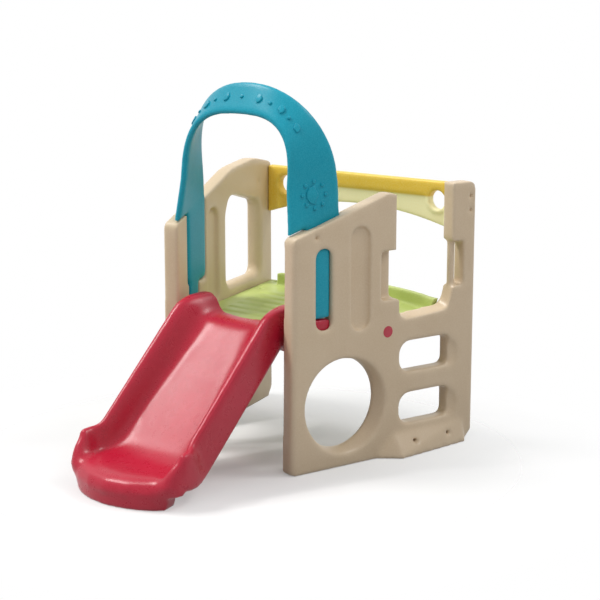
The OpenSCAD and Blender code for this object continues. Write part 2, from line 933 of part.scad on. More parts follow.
// Point on a rim: leg fraction t from -1 to 0 and from 1 to 2, half round from 0 to 1
function rim(foot, r, crown_y, crown_z, full, bow, t) =
    let(
        spring = crown_z - r,
        side = t < 0.5 ? 1 : -1,
        k = t < 0 ? 1 + t : 2 - t,
        on_leg = t < 0 || t > 1,
        x = on_leg ? side * (foot[0] + (r - foot[0]) * k) : r * fuller(cos(180 * t), full),
        z = on_leg ? foot[2] + (spring - foot[2]) * k : spring + r * fuller(sin(180 * t), full)
    )
    [x, foot[1] + (crown_y - foot[1]) * pow((z - foot[2]) / (crown_z - foot[2]), bow), z];

// Foot of a rim: over the sloping top edge of the wall at s
function rim_foot(s, lift) =
    let(p = wall_pt(s, arch_in))
    [p[0], p[1], top_z(s) + lift];

front_foot = rim_foot(arch_s, fit_gap + arch_lift);
rear_foot = rim_foot(arch_s + arch_len, fit_gap + thin);
front_r = front_foot[0] - arch_draw;
function front_rim(t) = rim(front_foot, front_r, arch_front_y, arch_front_z, front_full, rim_bow[0], t);
function rear_rim(t) = rim(rear_foot, rear_foot[0], arch_rear_y, arch_rear_z, rear_full, rim_bow[1], t);

// Ring of the arch: a flat band from rim to rim, with rounded edges and its thickness to the inside
function arch_ring(t) =
    let(
        f = front_rim(t),
        b = rear_rim(t),
        w = norm(b - f),
        across_way = (b - f) / w,
        step = 0.01,
        t0 = max(-1, t - step),
        t1 = min(2, t + step),
        along = front_rim(t1) + rear_rim(t1) - front_rim(t0) - rear_rim(t0),
        inner_raw = cross(along, across_way),
        inner = inner_raw / norm(inner_raw),
        r = arch_t * band_round,
        q = r * (1 - cos(45)),
        section = [
            [r, 0], [w - r, 0], [w - q, q], [w, r], [w, arch_t - r], [w - q, arch_t - q],
            [w - r, arch_t], [r, arch_t], [q, arch_t - q], [0, arch_t - r], [0, r], [q, q]
        ]
    )
    [for (p = section) f + across_way * p[0] + inner * p[1]];

// Arch in one moulding: band and two legs that slide down into the walls' channels
module arch() {
    rings = concat(
        [for (i = [0 : leg_steps - 1]) arch_ring(-1 + i / leg_steps)],
        [for (i = [0 : arch_steps]) arch_ring(i / arch_steps)],
        [for (i = [1 : leg_steps]) arch_ring(1 + i / leg_steps)]
    );
    n = len(rings[0]);
    color(teal_plastic) {
        translate([0, -y_mid, 0])
            skin(rings, fan_cap(n, 0, false), fan_cap(n, (len(rings) - 1) * n, true));
        on_right()
            arch_leg();
        on_left()
            arch_leg();
    }
}

// Leg of the arch, with a rounded lower end and a boss that fills the slot and holds the slide's tab down
module arch_leg() {
    top = arch_s + arch_len;
    tongue_z = tab_top + fit_gap;
    difference() {
        union() {
            plate(arch_in, arch_in + arch_t)
                polygon(rounded([
                    [leg_s, top_z(leg_s) + leg_rise[0], 0],
                    [leg_s, leg_z, leg_r],
                    [top, leg_z, leg_r],
                    [top, top_z(top) + leg_rise[1], 0]
                ]));
            plate(boss_in, arch_in + arch_t)
                translate([tongue_s, tongue_z])
                    square([tongue_len, boss_top - tongue_z]);
        }
        across(arch_screw_s, arch_screw_z, screw_r + hole_gap, arch_in - over, arch_in + grip_len + over);
    }
}

// Back panel

// Rear panel: a top rail, a thinner web with an arched lower edge, end blocks and two round holes
module back_panel() {
    d = wall_t + fit_gap;
    low = panel_top - panel_end;
    port_z = panel_top - rail_band - port_down;
    color(yellow_plastic)
        difference() {
            translate([0, -y_mid, 0])
                intersection() {
                    translate([0, panel_y + panel_t, 0])
                        rotate([90, 0, 0])
                            difference() {
                                linear_extrude(panel_t)
                                    difference() {
                                        translate([-front_w, low])
                                            square([2 * front_w, panel_end]);
                                        translate([0, low + panel_rise - panel_r])
                                            circle(panel_r, $fn = wide_fn);
                                        for (side = [-1, 1])
                                            translate([side * (panel_chord - port_in), port_z])
                                                circle(port_r);
                                    }
                                translate([0, 0, panel_t - web_in])
                                    linear_extrude(panel_t)
                                        translate([-panel_chord + panel_block, low - over])
                                            square([
                                                2 * (panel_chord - panel_block),
                                                panel_end - rail_band + over
                                            ]);
                            }
                    linear_extrude(panel_top + over)
                        polygon([
                            [-side_x(panel_y - over, d), panel_y - over],
                            [side_x(panel_y - over, d), panel_y - over],
                            [side_x(panel_y + panel_t + over, d), panel_y + panel_t + over],
                            [-side_x(panel_y + panel_t + over, d), panel_y + panel_t + over]
                        ]);
                }
            for (z = panel_screw_z) {
                on_right()
                    across(panel_screw_s, z, screw_r + hole_gap, wall_t - over, wall_t + grip_len + over);
                on_left()
                    across(panel_screw_s, z, screw_r + hole_gap, wall_t - over, wall_t + grip_len + over);
            }
        }
}

// Fasteners and sticker

// Pan-head screw along +Z, with the underside of its head at the origin and a cross recess
module screw(length) {
    color(screw_grey)
        difference() {
            union() {
                translate([0, 0, -head_h])
                    cylinder(r = head_r, h = head_h);
                cylinder(r = screw_r, h = length);
            }
            for (turn = [0, 90])
                rotate([0, 0, turn])
                    translate([-head_r / 2, -drive_w / 2, -head_h - over])
                        cube([head_r, drive_w, drive_d + over]);
        }
}

// Screw driven through a wall at s, z into a piece that starts at the given depth
module wall_screw(s, z, depth) {
    translate([s, dimple_d, z])
        rotate([-90, 0, 0])
            screw(depth - dimple_d + grip_len);
}

module arch_screw_right() {
    on_right()
        wall_screw(arch_screw_s, arch_screw_z, arch_in);
}

module arch_screw_left() {
    on_left()
        wall_screw(arch_screw_s, arch_screw_z, arch_in);
}

module panel_screws_right() {
    on_right()
        for (z = panel_screw_z)
            wall_screw(panel_screw_s, z, wall_t);
}

module panel_screws_left() {
    on_left()
        for (z = panel_screw_z)
            wall_screw(panel_screw_s, z, wall_t);
}

// Deck screw at s, driven down into the shelf
module deck_screw(s) {
    translate([s, deck_screw_d, deck_top - deck_dimple_d])
        rotate([180, 0, 0])
            screw(deck_t - deck_dimple_d + grip_len);
}

module deck_screws_right() {
    on_right()
        for (s = deck_screw_s)
            deck_screw(s);
}

module deck_screws_left() {
    on_left()
        for (s = deck_screw_s)
            deck_screw(s);
}

// Plain round sticker on the side-entry wall
module side_sticker() {
    color(sticker_white)
        on_right()
            across(sticker_s, sticker_z, sticker_r, -sticker_t, 0);
}

right_wall();
left_wall();
deck();
slide();
arch();
back_panel();
arch_screw_right();
arch_screw_left();
panel_screws_right();
panel_screws_left();
deck_screws_right();
deck_screws_left();
side_sticker();
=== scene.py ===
# %% [markdown]
# # Toddler climbing gym
#
# A climber of this kind is a handful of big hollow mouldings: two side walls, a deck, a slide, an arch and a rear
# panel, with a few screws. Each one comes out of a closed mould as soft plastic, so nothing on it has a sharp edge.
# The construction file gives every piece its place and size with sharp edges. This lesson takes a copy of each piece,
# gives it the soft edges, the dishes and the relief of a real moulding, and paints it.

import math

import bpy
import numpy as np
from mathutils import Matrix, Vector


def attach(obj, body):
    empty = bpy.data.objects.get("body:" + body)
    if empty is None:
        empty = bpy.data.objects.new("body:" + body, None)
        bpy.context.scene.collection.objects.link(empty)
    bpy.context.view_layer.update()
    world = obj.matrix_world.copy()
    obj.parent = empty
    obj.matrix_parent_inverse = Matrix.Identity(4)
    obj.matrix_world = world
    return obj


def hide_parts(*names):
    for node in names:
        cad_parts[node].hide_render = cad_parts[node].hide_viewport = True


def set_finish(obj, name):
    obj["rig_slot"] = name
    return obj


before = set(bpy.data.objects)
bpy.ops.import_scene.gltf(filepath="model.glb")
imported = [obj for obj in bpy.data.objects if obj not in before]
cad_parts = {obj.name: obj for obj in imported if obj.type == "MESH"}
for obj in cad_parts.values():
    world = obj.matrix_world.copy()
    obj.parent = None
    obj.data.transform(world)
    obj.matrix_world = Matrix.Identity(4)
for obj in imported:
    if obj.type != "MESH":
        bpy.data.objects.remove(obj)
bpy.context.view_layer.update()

# %% [markdown]
# ## Working by hand, in code
#
# Every step below is one that could be done with the mouse: choose one object, go into edit mode, run an operator, or
# add a modifier and apply it. These short helpers do the choosing. `copy_node` takes a node's mesh, which comes in as
# loose triangles, and welds it, so that the copy is one closed skin and the node itself stays as it is.

# %% Helpers for choosing, welding and applying


def alone(piece):
    """Makes piece the only chosen object."""
    bpy.ops.object.select_all(action="DESELECT")
    piece.select_set(True)
    bpy.context.view_layer.objects.active = piece


def edit(piece, elements="VERT"):
    """Opens piece in edit mode with all of it chosen."""
    alone(piece)
    bpy.ops.object.mode_set(mode="EDIT")
    bpy.ops.mesh.select_mode(type=elements)
    bpy.ops.mesh.select_all(action="SELECT")


def done():
    bpy.ops.object.mode_set(mode="OBJECT")


def copy_node(node, name):
    """A welded copy of a construction node, as an object of its own."""
    piece = bpy.data.objects.new(name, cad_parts[node].data.copy())
    bpy.context.scene.collection.objects.link(piece)
    edit(piece)
    bpy.ops.mesh.remove_doubles(threshold=0.00001)
    done()
    return piece


def apply(piece, kind, **settings):
    """Adds one modifier, sets it and applies it."""
    alone(piece)
    bpy.ops.object.modifier_add(type=kind)
    modifier = piece.modifiers[-1]
    for key, value in settings.items():
        setattr(modifier, key, value)
    bpy.ops.object.modifier_apply(modifier=modifier.name)


def choose(piece, elements, test):
    """Opens piece in edit mode with only the parts chosen that pass the test; elements is VERT, EDGE or FACE."""
    edit(piece, elements)
    bpy.ops.mesh.select_all(action="DESELECT")
    done()
    mesh = piece.data
    parts = {"VERT": mesh.vertices, "EDGE": mesh.edges, "FACE": mesh.polygons}[elements]
    for part in parts:
        part.select = bool(test(mesh, part))
    bpy.ops.object.mode_set(mode="EDIT")


def settle(piece):
    """Puts the object's own move, turn and scale into its mesh."""
    alone(piece)
    bpy.ops.object.transform_apply(location=True, rotation=True, scale=True)


def cut(piece, tool, operation="DIFFERENCE"):
    """Takes the tool's shape out of piece, or adds it with UNION, and throws the tool away."""
    apply(piece, "BOOLEAN", operation=operation, object=tool)
    bpy.data.objects.remove(tool)


# %% [markdown]
# ## Soft edges
#
# A hollow moulding has a skin of even thickness, and hot plastic doesn't run into a sharp corner of the mould, so each
# edge has a radius of a centimetre or more. `soften` gives that look to a whole piece at once. It rebuilds the skin as
# a fine even grid, then lets every point drift towards its neighbours. Flat faces stay where they are, and edges
# round off: the more passes, the larger the radius. A weight for each point keeps thin bars from shrinking.
#
# `polish` is a second, longer smoothing that leaves the edges alone. It takes out the facets that the construction
# has on its curved bands, the way a mould maker stones the flat of a mould.

# %% Helpers for soft edges
WORN_OUT = 0.0006


def coords(piece):
    co = np.empty(len(piece.data.vertices) * 3)
    piece.data.vertices.foreach_get("co", co)
    return co.reshape(-1, 3)


def normals(piece):
    no = np.empty(len(piece.data.vertices) * 3)
    piece.data.vertex_normals.foreach_get("vector", no)
    return no.reshape(-1, 3)


def neighbour_mean(piece, values):
    """Mean of a value over each point's neighbours."""
    ends = np.empty(len(piece.data.edges) * 2, dtype=np.int64)
    piece.data.edges.foreach_get("vertices", ends)
    a, b = ends.reshape(-1, 2).T
    count = np.bincount(np.concatenate([a, b]), minlength=len(values))
    columns = values.reshape(len(values), -1).T
    sums = [np.bincount(a, c[b], len(values)) + np.bincount(b, c[a], len(values)) for c in columns]
    return (np.array(sums) / np.maximum(count, 1)).T.reshape(values.shape)


def sharpness(piece, spread):
    """How far each point stands out of its neighbours, in metres, evened over a few rings: above 0 on an edge."""
    co = coords(piece)
    out = ((co - neighbour_mean(piece, co)) * normals(piece)).sum(axis=1)
    for _ in range(spread):
        out = neighbour_mean(piece, out)
    return out


def drift(piece, passes, weights=None):
    """Lets each point drift towards its neighbours, by its weight from 0 to 1."""
    if weights is None:
        apply(piece, "SMOOTH", factor=0.5, iterations=passes)
        return
    group = piece.vertex_groups.new(name="soft")
    for i, w in enumerate(weights):
        group.add([i], float(w), "REPLACE")
    apply(piece, "SMOOTH", factor=0.5, iterations=passes, vertex_group="soft")
    piece.vertex_groups.clear()


def soften(piece, voxel, passes, weigh=None):
    """Rebuilds the skin on an even grid and rounds its edges. weigh takes points and gives their weights."""
    apply(piece, "REMESH", mode="VOXEL", voxel_size=voxel)
    drift(piece, passes, weigh(coords(piece)) if weigh else None)


def polish(piece, passes, keep):
    """Smooths the faces and leaves points that stand out or in by more than keep, in metres."""
    edge = np.abs(sharpness(piece, spread=2))
    drift(piece, passes, np.clip(1.3 - edge / keep, 0, 1))


def finish_piece(piece, node, slot):
    """Shades the piece, notes where its edges are worn, fully where they stand out by WORN_OUT, and lets it stand for
    its construction node."""
    alone(piece)
    bpy.ops.object.shade_smooth()
    worn = piece.data.attributes.new("wear", "FLOAT", "POINT")
    worn.data.foreach_set("value", np.clip(sharpness(piece, spread=3) / WORN_OUT, 0, 1))
    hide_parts(node)
    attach(piece, "root")
    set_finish(piece, slot)
    faces = len(piece.data.polygons)
    print(piece.name, faces, "faces,", [round(v, 3) for v in piece.dimensions])


# %% [markdown]
# ## The walls' own frame
#
# The two side walls aren't parallel: they open out towards the rear. A wall is easier to shape while it stands square
# to the grid, so each one is turned about its front corner, worked on and turned back. In the wall's frame, `s` runs
# along the wall from its front edge, `d` goes in from the outer face and `z` is the height. The cutters for the walls'
# hollows are made here too. Each flare starts `PROUD` of the face that it opens, so that no thin skin is left there.

# %% Wall frame
FRONT_W = 0.585
SPLAY = math.radians(15.4)
Y_MID = 0.08667
WALL_T = 0.058
PROUD = 0.004


def turn_wall(piece, side, back=False):
    """Turns a wall square to the grid about its front corner, or back again."""
    corner = Vector((side * FRONT_W / 2, -Y_MID, 0))
    angle = -side * SPLAY if back else side * SPLAY
    piece.matrix_world = Matrix.Translation(corner) @ Matrix.Rotation(angle, 4, "Z") @ Matrix.Translation(-corner)
    settle(piece)


def in_wall(points, side):
    """Columns s, d and z of points in the wall's own frame."""
    return points[:, 1] + Y_MID, FRONT_W / 2 - side * points[:, 0], points[:, 2]


def within(values, span, margin=0.0):
    return (values > span[0] - margin) & (values < span[1] + margin)


def ball(side, s, d, z, radii):
    """An egg-shaped cutter at a place in the wall's own frame; radii run along the wall, into it and up."""
    bpy.ops.mesh.primitive_uv_sphere_add(segments=48, ring_count=24, radius=1)
    tool = bpy.context.active_object
    tool.location = (side * (FRONT_W / 2 - d), s - Y_MID, z)
    tool.scale = (radii[1], radii[0], radii[2])
    settle(tool)
    return tool


def funnel(side, s, z, radii, depth):
    """A round flare that goes in from the outer face to the depth; radii are at its outer and inner ends."""
    bpy.ops.mesh.primitive_cone_add(vertices=90, radius1=radii[0], radius2=radii[1], depth=depth + PROUD)
    tool = bpy.context.active_object
    tool.rotation_euler = (0, -side * math.pi / 2, 0)
    tool.location = (side * (FRONT_W - depth + PROUD) / 2, s - Y_MID, z)
    settle(tool)
    return tool


def cove(side, radius, height, lean):
    """A bar with a hollow side that rounds off the wall's outer front edge; its foot stands forward by lean."""
    over = 0.010
    wide = radius + over
    bpy.ops.mesh.primitive_cube_add(size=1)
    tool = bpy.context.active_object
    tool.scale = (wide, wide, height + 2 * over)
    tool.location = (side * (FRONT_W / 2 + over - wide / 2), wide / 2 - over - Y_MID, height / 2)
    settle(tool)
    bpy.ops.mesh.primitive_cylinder_add(vertices=64, radius=radius, depth=2 * height)
    post = bpy.context.active_object
    post.location = (side * (FRONT_W / 2 - radius), radius - Y_MID, height / 2)
    settle(post)
    cut(tool, post)
    choose(tool, "VERT", lambda mesh, v: v.co.z < height / 2)
    bpy.ops.transform.translate(value=(0, -lean, 0))
    done()
    return tool


def mouth(side, s, z, face, depth, grow, radius):
    """A flared block that opens the mouth of a slot.

    s and z are the slot's ends along the wall and up, and face is the depth of the wall's face that the block opens.
    depth says how far in the flare goes, below 0 for one that comes out, grow how much wider it is at the face, and
    radius how round its corners are. Its inner end stays clear of the slot's sides.
    """
    clear = 0.001
    wide, high = s[1] - s[0] - 2 * clear, z[1] - z[0] - 2 * clear
    bpy.ops.mesh.primitive_cube_add(size=1)
    tool = bpy.context.active_object
    start, end = face - math.copysign(PROUD, depth), face + depth
    tool.location = (side * (FRONT_W / 2 - (start + end) / 2), (s[0] + s[1]) / 2 - Y_MID, (z[0] + z[1]) / 2)
    tool.scale = (abs(end - start), wide, high)
    settle(tool)
    middle = sum((v.co for v in tool.data.vertices), Vector()) / 8
    outward = side if depth > 0 else -side
    choose(tool, "FACE", lambda mesh, f: f.normal.x * outward > 0.9)
    more = 2 * (grow + clear)
    bpy.ops.transform.resize(value=(1, 1 + more / wide, 1 + more / high), center_override=middle)
    done()
    span = abs(end - start) / 2
    choose(tool, "EDGE", lambda mesh, e: abs(np.subtract(*[mesh.vertices[i].co.x for i in e.vertices])) > span)
    bpy.ops.mesh.bevel(offset=radius, segments=8, affect="EDGES")
    done()
    return tool


# %% [markdown]
# ## The wall with the side entry
#
# A child climbs in over this wall: two foot slots serve as rungs, the notch is the way in, and there is something to
# hold on each side of it. The slots have a flared mouth, so that the hot plastic lets go of the mould, and the rear
# end of each foot slot is dished to make room for a toe. The crawl hole opens out like a funnel on its rear and lower
# side, and the front edge, which a child holds when climbing the slide, has a wide radius. The notch's sill slopes
# outwards, so its outer edge is drawn down. All this is done before the edges are softened, so that it blends into
# the wall. The grab bar behind the notch is thin, the arch stands on the top edge and the blind pocket is shallow, so
# these places are softened less.

# %% Right wall
FRONT_H = 0.800
FRONT_LEAN = 0.010
FRONT_R = 0.022
TOP_PITCH = math.tan(math.radians(17.4))

SILL_S = (0.445, 0.672)
SILL_Z = (0.470, 0.530)
SILL_DROP = 0.014

HOLE_S, HOLE_Z, HOLE_R = 0.206, 0.220, 0.156
HOLE_RIM = 0.018
FUNNEL_S, FUNNEL_Z = HOLE_S + 0.016, HOLE_Z - 0.010
FUNNEL_RADII = (0.1705, 0.140)
FUNNEL_DEPTH = 0.045

# Ends of each slot along the wall and up, and its flare's depth, growth and corner radius
SLOT_S, SLOT_Z = (0.096, 0.158), (0.486, 0.757)
SLOT_FLARE = (0.009, 0.009, 0.024)
FOOT_S = (0.454, 0.676)
FOOT_Z = ((0.106, 0.214), (0.291, 0.399))
FOOT_FLARE = (0.009, 0.010, 0.040)
TOE_S, TOE_UP = FOOT_S[1] + 0.004, 0.042
TOE_RADII = (0.034, 0.012, 0.050)

BAR_S, BAR_Z = (0.683, 0.717), (0.585, 0.722)
POCKET_S, POCKET_Z = (0.238, 0.318), (0.466, 0.820)
POCKET_RIM = 0.010
STAND_S, STAND_D, STAND_Z = 0.090, 0.020, FRONT_H - 0.030
WALL_GRID = 0.005
WALL_PASSES = 11


def on_sill(mesh, vert):
    """Corners along the outer edge of the notch's sill, in the wall's own frame."""
    x, y, z = vert.co
    return x > FRONT_W / 2 - 0.001 and SILL_S[0] < y + Y_MID < SILL_S[1] and SILL_Z[0] < z < SILL_Z[1]


right_wall = copy_node("right_wall", "wall_with_entry")
turn_wall(right_wall, 1)
choose(right_wall, "VERT", on_sill)
bpy.ops.transform.translate(value=(0, 0, -SILL_DROP))
done()
cut(right_wall, cove(1, FRONT_R, FRONT_H, FRONT_LEAN))
cut(right_wall, funnel(1, FUNNEL_S, FUNNEL_Z, FUNNEL_RADII, FUNNEL_DEPTH))
cut(right_wall, mouth(1, SLOT_S, SLOT_Z, 0, *SLOT_FLARE))
for z in FOOT_Z:
    cut(right_wall, mouth(1, FOOT_S, z, 0, *FOOT_FLARE))
    cut(right_wall, ball(1, TOE_S, 0, z[0] + TOE_UP, TOE_RADII))


def weigh_hole(points, side):
    """A third at the crawl hole's rim, all elsewhere."""
    s, _, z = in_wall(points, side)
    ring = np.hypot(s - HOLE_S, z - HOLE_Z) - HOLE_R
    return np.where(np.abs(ring) < HOLE_RIM, 0.35, 1.0)


def weigh_right(points):
    """Less at the crawl hole and the pocket, and least at the grab bar and where the arch stands."""
    s, d, z = in_wall(points, 1)
    bar = within(s, BAR_S) & within(z, BAR_Z)
    pocket = within(s, POCKET_S, POCKET_RIM) & within(z, POCKET_Z, POCKET_RIM)
    stand = (s < STAND_S) & (z > STAND_Z) & (d > STAND_D)
    weights = np.where(pocket, 0.3, weigh_hole(points, 1))
    return np.where(bar | stand, 0.15, weights)


soften(right_wall, WALL_GRID, WALL_PASSES, weigh_right)
polish(right_wall, passes=16, keep=0.0005)
turn_wall(right_wall, 1, back=True)
finish_piece(right_wall, "right_wall", "tan_right")

# %% [markdown]
# ## The wall with the window
#
# The far wall has an arched window and a crowned top. On its inner face, near the rear post, is a shallow round dish
# where the mould clamped the plastic. The window is flared on the inner face, where the two halves of the mould met.

# %% Left wall
WINDOW_S, WINDOW_Z = (0.394, 0.674), (0.514, 0.800)
WINDOW_FLARE = (-0.022, 0.017, 0.034)
CLAMP_S, CLAMP_D, CLAMP_Z = 0.671, WALL_T + 0.010, 0.867
CLAMP_RADII = (0.020, 0.016, 0.022)

left_wall = copy_node("left_wall", "wall_with_window")
turn_wall(left_wall, -1)
cut(left_wall, ball(-1, CLAMP_S, CLAMP_D, CLAMP_Z, CLAMP_RADII))
cut(left_wall, mouth(-1, WINDOW_S, WINDOW_Z, WALL_T, *WINDOW_FLARE))
soften(left_wall, WALL_GRID, WALL_PASSES, lambda points: weigh_hole(points, -1))
polish(left_wall, passes=30, keep=0.0006)
turn_wall(left_wall, -1, back=True)
finish_piece(left_wall, "left_wall", "tan_left")

# %% [markdown]
# ## The slide
#
# The slide is one moulding: a chute with two rails, a rolled lip at its foot and a plinth under it. The flat of the
# chute is set in by a millimetre or two, which gives the thin bright line that runs down beside it: a long flat block
# is laid on the run and taken out. Its lower end is a little wider and lifted, so that the set-in part fades out at
# both ends. The surface flows in every direction, so after the edges are softened the faces are polished. Then the
# bends at the crest, the dip and the lip are smoothed once more, and the rails a little. The groove over the plinth
# stays crisp.

# %% Slide
RUN_ANGLE = math.radians(42.9)
RUN_TOP = Vector((0, 0.0001 - Y_MID, 0.4626))
RUN_DOWN = Vector((0, -math.cos(RUN_ANGLE), -math.sin(RUN_ANGLE)))
RUN_OUT = Vector((0, -math.sin(RUN_ANGLE), math.cos(RUN_ANGLE)))

INSET_SPAN = (-0.040, 0.440)
INSET_HALF = (0.104, 0.127)
INSET_DEPTH = 0.0020

# Middle of each bend along the run, and how far from it the smoothing reaches
CREST, CREST_REACH = -0.020, 0.110
DIP, DIP_REACH = 0.480, 0.090

CHUTE_HALF, CHUTE_FADE = 0.185, 0.050
RAIL_X, RAIL_UP = 0.165, 0.045
NOSE_Y = -0.560
GROOVE_Y, GROOVE_Z, GROOVE_REACH = NOSE_Y + 0.100, 0.062, 0.022
LIP_Z, LIP_FADE = 0.082, 0.014


def run_block():
    """A flat block that lies on the run of the slide, as wide as the part that is set in."""
    length, thick = INSET_SPAN[1] - INSET_SPAN[0], 0.05
    bpy.ops.mesh.primitive_cube_add(size=1)
    tool = bpy.context.active_object
    tool.scale = (2 * INSET_HALF[0], length, thick)
    settle(tool)
    choose(tool, "FACE", lambda mesh, f: f.normal.y < -0.9)
    bpy.ops.transform.resize(value=(INSET_HALF[1] / INSET_HALF[0], 1, 1), center_override=(0, 0, 0))
    bpy.ops.transform.translate(value=(0, 0, INSET_DEPTH))
    done()
    middle = RUN_TOP + RUN_DOWN * sum(INSET_SPAN) / 2 + RUN_OUT * (thick / 2 - INSET_DEPTH)
    tool.matrix_world = Matrix.Translation(middle) @ Matrix.Rotation(RUN_ANGLE, 4, "X")
    settle(tool)
    return tool


def weigh_slide(points):
    """Keeps the groove between the rolled lip and the plinth."""
    groove = (np.abs(points[:, 2] - GROOVE_Z) < GROOVE_REACH) & (points[:, 1] < GROOVE_Y)
    return np.where(groove, 0.1, 1.0)


def weigh_bends(points):
    """Most at the crest and the dip of the chute and on the rolled lip, and a little along the rails."""
    across = np.abs(points[:, 0])
    from_top = points - np.array(RUN_TOP)
    along, above = from_top @ np.array(RUN_DOWN), from_top @ np.array(RUN_OUT)
    rail = np.where((across > RAIL_X) & (above > RAIL_UP), 0.09, 0)
    crest = 1 - np.abs(along - CREST) / CREST_REACH
    dip = 1 - np.abs(along - DIP) / DIP_REACH
    inside = np.clip((CHUTE_HALF - across) / CHUTE_FADE, 0, 1)
    lip = np.where(points[:, 1] < NOSE_Y, (points[:, 2] - LIP_Z) / LIP_FADE, 0)
    return np.clip(np.maximum.reduce([crest * inside, dip * inside, lip, rail]), 0, 1)


slide = copy_node("slide", "slide_chute")
cut(slide, run_block())
soften(slide, voxel=0.0045, passes=9, weigh=weigh_slide)
polish(slide, passes=30, keep=0.0007)
drift(slide, passes=160, weights=weigh_bends(coords(slide)))
finish_piece(slide, "slide", "red")

# %% [markdown]
# ## The arch
#
# The arch is a wide flat band that stands on the two walls, with a leg on each side that drops into a channel. It is
# rebuilt on a finer grid than the walls, since its edges are tighter. The pad that shows through the wall's slot is
# softened more, so that a dark line is left all round it.

# %% Arch
LEG_TOP = 0.775
FOOT_H = 0.020


def weigh_arch(points):
    """All on the legs, half on the band, and almost nothing where the band stands on the walls."""
    foot = points[:, 2] < FRONT_H + FOOT_H + TOP_PITCH * (points[:, 1] + Y_MID)
    return np.where(points[:, 2] < LEG_TOP, 1.0, np.where(foot, 0.06, 0.5))


arch = copy_node("arch", "entry_arch")
soften(arch, voxel=0.004, passes=14, weigh=weigh_arch)
polish(arch, passes=70, keep=0.0006)
finish_piece(arch, "arch", "teal")

# %% [markdown]
# ## Relief on the arch
#
# The band has a raised pattern, moulded in one with it: a row of small stars and buttons over the crown, and a larger
# star in a ring of buttons on each leg. A star starts as a ten-sided disc. Every other corner is drawn in, and its
# upper edge is bevelled. A button is a round disc with a wide bevel. Each one is set on the band where a ray from
# outside meets it, and sunk by a millimetre or so, so that it follows the curve.

# %% Stars and buttons
RELIEF_T = 0.0066
SUNK = 0.0014
STAR_SIDES, BUTTON_SIDES = 10, 24
STAR_IN = 0.46

# Sides, radius and bevel of each kind of mark
SMALL_STAR = (STAR_SIDES, 0.0165, 0.0022)
LARGE_STAR = (STAR_SIDES, 0.0310, 0.0030)
ROW_BUTTON = (BUTTON_SIDES, 0.0066, 0.0032)
RING_BUTTON = (BUTTON_SIDES, 0.0070, 0.0032)


def disc(sides, radius, bevel):
    """A star or a round disc that lies on the floor with its upper edge bevelled."""
    bpy.ops.mesh.primitive_cylinder_add(vertices=sides, radius=radius, depth=RELIEF_T, location=(0, 0, RELIEF_T / 2))
    piece = bpy.context.active_object
    settle(piece)
    if sides == STAR_SIDES:
        turn = 2 * math.pi / sides
        choose(piece, "VERT", lambda mesh, v: round(math.atan2(v.co.y, v.co.x) / turn) % 2)
        bpy.ops.transform.resize(value=(STAR_IN, STAR_IN, 1), center_override=(0, 0, 0))
        done()
    choose(piece, "EDGE", lambda mesh, e: min(mesh.vertices[i].co.z for i in e.vertices) > RELIEF_T / 2)
    bpy.ops.mesh.bevel(offset=bevel, segments=3, affect="EDGES")
    done()
    return piece


def set_on_arch(piece, place, way):
    """Puts a piece on the arch where a ray from outside, against way, meets it."""
    way = Vector(way).normalized()
    _, spot, normal, _ = arch.ray_cast(Vector(place) + way * RAY_START, -way)
    upright = Vector((0, 0, 1)) - normal * normal.z
    upright.normalize()
    turn = Matrix((upright.cross(normal), upright, normal)).transposed().to_4x4()
    piece.matrix_world = Matrix.Translation(spot - normal * SUNK) @ turn
    settle(piece)
    return piece


# The row follows the band, which is a little fuller than a half circle; angles are in degrees from the right
BAND_R = 0.278
BAND_SPRING = 0.967
BAND_FULL = 0.8
CROWN_Y = 0.086 - Y_MID
ROW_MARKS, ROW_START, ROW_STEP = 11, 38, 10.4
ROW_WAY = (0.75, -0.8, 0.6)

LEG_X, LEG_Y, LEG_Z = 0.285, 0.032, 0.935
RING_MARKS, RING_R = 8, 0.044
RAY_START = 0.4

relief = []
for i in range(ROW_MARKS):
    angle = math.radians(ROW_START + ROW_STEP * i)
    right, up = math.cos(angle), math.sin(angle)
    x = BAND_R * math.copysign(abs(right) ** BAND_FULL, right)
    z = BAND_SPRING + BAND_R * up**BAND_FULL
    mark = disc(*(SMALL_STAR if i % 2 == 0 else ROW_BUTTON))
    relief.append(set_on_arch(mark, (x, CROWN_Y, z), (ROW_WAY[0] * right, ROW_WAY[1], ROW_WAY[2] * up)))
for side in (-1, 1):
    middle, way = Vector((side * LEG_X, LEG_Y, LEG_Z)), (side, -0.2, 0)
    relief.append(set_on_arch(disc(*LARGE_STAR), middle, way))
    for i in range(RING_MARKS):
        angle = 2 * math.pi * i / RING_MARKS
        place = middle + Vector((0, RING_R * math.cos(angle), RING_R * math.sin(angle)))
        relief.append(set_on_arch(disc(*RING_BUTTON), place, way))

bpy.ops.object.select_all(action="DESELECT")
for piece in relief:
    piece.select_set(True)
bpy.context.view_layer.objects.active = relief[0]
bpy.ops.object.join()
arch_relief = relief[0]
arch_relief.name = "arch_relief"
alone(arch_relief)
bpy.ops.object.shade_smooth_by_angle(angle=math.radians(40))
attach(arch_relief, "root")
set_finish(arch_relief, "teal")
print("relief:", len(relief), "marks,", len(arch_relief.data.polygons), "faces")

# %% [markdown]
# ## The deck and the rear panel
#
# The deck is a slab with tread ribs and a curved lip at the rear, and the lip's right end is drawn out a little. The
# rear panel is a rail with a web below it, an arched lower edge and two round holes, each with a low collar. The rail
# is softened most.

# %% Deck
LIP_END = 0.386
LIP_Y = 0.300
LIP_OUT = 0.016
DECK_TOP = 0.482

deck = copy_node("deck", "deck_slab")
choose(deck, "VERT", lambda mesh, v: v.co.x > LIP_END and v.co.y > LIP_Y and v.co.z > DECK_TOP)
bpy.ops.transform.translate(value=(LIP_OUT, 0, 0))
done()
soften(deck, voxel=0.005, passes=6)
finish_piece(deck, "deck", "green")

